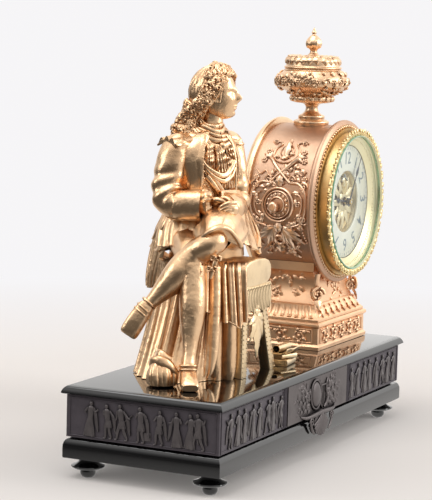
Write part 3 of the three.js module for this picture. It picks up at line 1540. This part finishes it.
// Figure: seated and twisted, one leg over the other, with its head turned to its left.
// Places are shares of its standing height, from a point on the slab below its seat
const chestAcrossShares = [-0.91, 0.41, 0];
const headAcrossShares = [-0.98, -0.19, 0];
const alongShares = [1, 0, 0];
const depthShares = [0, 1, 0.2];
const skirtShares = [0.4, -0.9, 0];
const shinShares = [0.8, 0.55, 0.2];
const toeShares = [-0.1, 0.64, 0.77];
const limbShares = {
  torso: {
    across: chestAcrossShares,
    sides: roundSides,
    sections: [
      [0.015, 0.025, 0.2975, 0.1225, 0.1175], [0.0025, 0.0175, 0.3575, 0.1087, 0.0988],
      [-0.0025, 0.0125, 0.4175, 0.0938, 0.08], [-0.005, 0.015, 0.4775, 0.0912, 0.0762],
      [-0.005, 0.02, 0.5625, 0.1, 0.0737], [0.0025, 0.01, 0.61, 0.0625, 0.0475],
      [0.0075, -0.0025, 0.6325, 0.035, 0.0325],
    ],
  },
  neck: {
    across: headAcrossShares,
    sides: pinSides,
    sections: [
      [0.0075, -0.005, 0.62, 0.0312, 0.0312], [0.0138, -0.005, 0.6875, 0.0275, 0.03],
    ],
  },
  lace: {
    across: chestAcrossShares,
    sides: nutSides,
    sections: [
      [-0.03, -0.0325, 0.6075, 0.0175, 0.015], [-0.0425, -0.0475, 0.5675, 0.025, 0.0175],
      [-0.0575, -0.06, 0.4925, 0.0175, 0.0125],
    ],
  },
  face: {
    across: headAcrossShares,
    sides: studSides,
    sections: [
      [0.0175, -0.005, 0.6525, 0.015, 0.02], [0.0175, -0.0025, 0.665, 0.0275, 0.0425],
      [0.0175, -0.0013, 0.6925, 0.0387, 0.0575], [0.0175, 0, 0.7275, 0.0437, 0.0575],
      [0.0175, 0, 0.775, 0.03, 0.0375],
    ],
  },
  hair: {
    across: headAcrossShares,
    sides: roundSides,
    sections: [
      [0.0143, 0.02, 0.6775, 0.05, 0.045], [0.0138, 0.0175, 0.7075, 0.0575, 0.055],
      [0.015, 0.0125, 0.7425, 0.0587, 0.0638], [0.0157, 0.0075, 0.7675, 0.05, 0.0612],
      [0.0163, 0.005, 0.79, 0.0225, 0.0325],
    ],
  },
  hairFall: {
    across: headAcrossShares,
    sides: pinSides,
    sections: [
      [0.015, 0.05, 0.7025, 0.0525, 0.0275], [0.0112, 0.075, 0.6525, 0.0575, 0.03],
      [0.0088, 0.085, 0.61, 0.0425, 0.02],
    ],
  },
  rightSleeve: {
    across: alongShares,
    sides: pinSides,
    sections: [
      [-0.06, 0.0425, 0.59, 0.0275, 0.0275], [-0.085, 0.055, 0.5825, 0.0375, 0.0338],
      [-0.1025, 0.0625, 0.5425, 0.04, 0.0387], [-0.115, 0.065, 0.4875, 0.0387, 0.04],
      [-0.1275, 0.0575, 0.4475, 0.0387, 0.0413], [-0.1225, 0.02, 0.4363, 0.0408, 0.0393],
      [-0.1138, -0.0325, 0.4387, 0.0435, 0.04],
    ],
  },
  rightHand: {
    across: alongShares,
    sides: nutSides,
    sections: [
      [-0.115, -0.0275, 0.4412, 0.03, 0.0288], [-0.1, -0.06, 0.4462, 0.0275, 0.02],
      [-0.08, -0.12, 0.44, 0.0163, 0.009],
    ],
  },
  leftSleeve: {
    across: depthShares,
    sides: pinSides,
    sections: [
      [0.05, -0.01, 0.5975, 0.025, 0.0225], [0.075, -0.015, 0.5875, 0.0325, 0.0325],
      [0.085, -0.0225, 0.5425, 0.0362, 0.035], [0.0775, -0.0325, 0.4875, 0.0362, 0.0362],
      [0.06, -0.045, 0.4425, 0.0375, 0.0375], [0.015, -0.0575, 0.4275, 0.0387, 0.0375],
      [-0.0462, -0.07, 0.4275, 0.0437, 0.0413],
    ],
  },
  leftHand: {
    across: depthShares,
    sides: nutSides,
    sections: [
      [-0.0425, -0.07, 0.4275, 0.03, 0.0288], [-0.075, -0.08, 0.4288, 0.0262, 0.02],
      [-0.1175, -0.11, 0.4075, 0.0163, 0.009],
    ],
  },
  crossedThigh: {
    across: skirtShares,
    sides: pinSides,
    sections: [
      [0.02, -0.03, 0.3575, 0.0625, 0.0575], [-0.045, -0.05, 0.3725, 0.0575, 0.0475],
      [-0.14, -0.0788, 0.3688, 0.0512, 0.0462],
    ],
  },
  crossedShin: {
    across: shinShares,
    sides: pinSides,
    sections: [
      [-0.11, -0.0675, 0.365, 0.0345, 0.0345], [-0.17, -0.0963, 0.365, 0.0355, 0.0355],
      [-0.1862, -0.07, 0.335, 0.035, 0.0355], [-0.205, -0.025, 0.28, 0.038, 0.0395],
      [-0.22, -0.0013, 0.2475, 0.032, 0.033], [-0.245, 0.0312, 0.2062, 0.0195, 0.0195],
      [-0.2625, 0.0537, 0.1787, 0.019, 0.019],
    ],
  },
  standingThigh: {
    across: skirtShares,
    sides: pinSides,
    sections: [
      [-0.02, 0.035, 0.3475, 0.0625, 0.055], [-0.095, 0.005, 0.34, 0.055, 0.0475],
      [-0.1925, -0.045, 0.3025, 0.0338, 0.0338],
    ],
  },
  standingShin: {
    across: skirtShares,
    sides: pinSides,
    sections: [
      [-0.195, -0.0475, 0.3025, 0.032, 0.0315], [-0.2125, -0.0638, 0.2125, 0.035, 0.035],
      [-0.2275, -0.0688, 0.155, 0.03, 0.03], [-0.2525, -0.0775, 0.085, 0.0185, 0.0195],
      [-0.265, -0.0813, 0.0325, 0.02, 0.0215],
    ],
  },
  standingShoe: {
    across: skirtShares,
    sides: pinSides,
    sections: [
      [-0.2525, -0.0725, 0.02, 0.015, 0.0175], [-0.275, -0.0875, 0.0238, 0.024, 0.025],
      [-0.31, -0.1075, 0.0125, 0.025, 0.0135], [-0.3262, -0.1175, 0.009, 0.021, 0.009],
    ],
  },
  crossedShoe: {
    across: toeShares,
    sides: pinSides,
    sections: [
      [-0.2475, 0.0375, 0.195, 0.015, 0.015], [-0.2625, 0.0575, 0.165, 0.0265, 0.0215],
      [-0.2762, 0.075, 0.1338, 0.0255, 0.015], [-0.2825, 0.084, 0.1183, 0.0215, 0.01],
    ],
  },
};
const sheetShares = {
  leftFront: [
    [[-0.045, -0.0525, 0.4675], [-0.01, -0.0575, 0.4675], [0.055, -0.0525, 0.465]],
    [[-0.085, -0.0775, 0.4325], [-0.03, -0.095, 0.43], [0.065, -0.075, 0.42]],
    [[-0.1125, -0.1075, 0.405], [-0.05, -0.1225, 0.3875], [0.06, -0.095, 0.3775]],
    [[-0.115, -0.1375, 0.3625], [-0.05, -0.145, 0.3375], [0.0325, -0.1325, 0.31]],
  ],
  leftTail: [
    [[0.065, -0.05, 0.4425], [0.1, -0.015, 0.4375]],
    [[0.0875, -0.08, 0.3925], [0.1225, -0.035, 0.3875]],
    [[0.05, -0.1375, 0.3125], [0.1125, -0.1, 0.3025]],
  ],
  rightFront: [
    [[-0.065, -0.02, 0.46], [-0.07, 0.025, 0.4575], [-0.0525, 0.075, 0.4525]],
    [[-0.0975, -0.0375, 0.4075], [-0.115, 0.02, 0.4], [-0.085, 0.095, 0.3925]],
    [[-0.1275, -0.045, 0.3625], [-0.1475, 0.0125, 0.34], [-0.11, 0.1, 0.3275]],
  ],
  rightTail: [
    [[-0.075, 0.055, 0.4175], [-0.0425, 0.1075, 0.405], [-0.02, 0.12, 0.3925]],
    [[-0.0975, 0.065, 0.3575], [-0.06, 0.1225, 0.3525], [-0.03, 0.1375, 0.3425]],
    [[-0.1, 0.0875, 0.2825], [-0.0725, 0.1275, 0.2675], [-0.045, 0.145, 0.27]],
    [[-0.0975, 0.1025, 0.2225], [-0.0825, 0.125, 0.2125], [-0.065, 0.14, 0.2225]],
  ],
};
const clothShare = 0.009;
const figureDetailShare = 0.0025;
const cloakShares = {
  top: [[-0.03, 0.115], [-0.09, 0.0925], [-0.125, 0.06], [-0.145, 0], [-0.135, -0.055], [-0.11, -0.1]],
  bottom: [
    [-0.05, 0.13], [-0.115, 0.1225], [-0.165, 0.1], [-0.2275, 0.035], [-0.23, -0.03], [-0.165, -0.08],
    [-0.105, -0.12],
  ],
  inner: [[-0.0375, -0.0875], [-0.02, 0.05]],
  high: 0.295,
  low: 0,
  folds: 5,
  depth: 0.014,
};
const drapeShares = {
  top: [[-0.17, -0.04], [-0.15, -0.0675], [-0.1275, -0.095], [-0.11, -0.125], [-0.08, -0.1525]],
  bottom: [[-0.1825, -0.06], [-0.1675, -0.0875], [-0.1475, -0.1175], [-0.125, -0.1425], [-0.09, -0.1588]],
  inner: [[-0.05, -0.13], [-0.0625, -0.05]],
  high: 0.31,
  low: 0.14,
  folds: 3,
  depth: 0.008,
};
const figureParts = [
  ...Object.values(limbShares).map((shares) => limb(shares, stature)),
  ...Object.values(sheetShares).map((shares) => sheet(shares, stature, clothShare * stature)),
  hanging(cloakShares, stature),
  hanging(drapeShares, stature),
];
const seatedFigure = join(...figureParts)
  .simplify(figureDetailShare * stature)
  .translate([figureX, figureY, slabTop + seatGap]);
const stoolSpace = box(
  stoolX - stoolHalfLength - seatGap,
  stoolX + stoolHalfLength + seatGap,
  -stoolHalfDepth - seatGap,
  stoolHalfDepth + seatGap,
  0,
  seatTop + seatGap,
);
const underSlab = box(-slabLength, slabLength, -slabDepth, slabDepth, 0, slabTop + seatGap);
add(root, "seated_figure", cut(seatedFigure, stoolSpace, underSlab), gilt);

export default root;
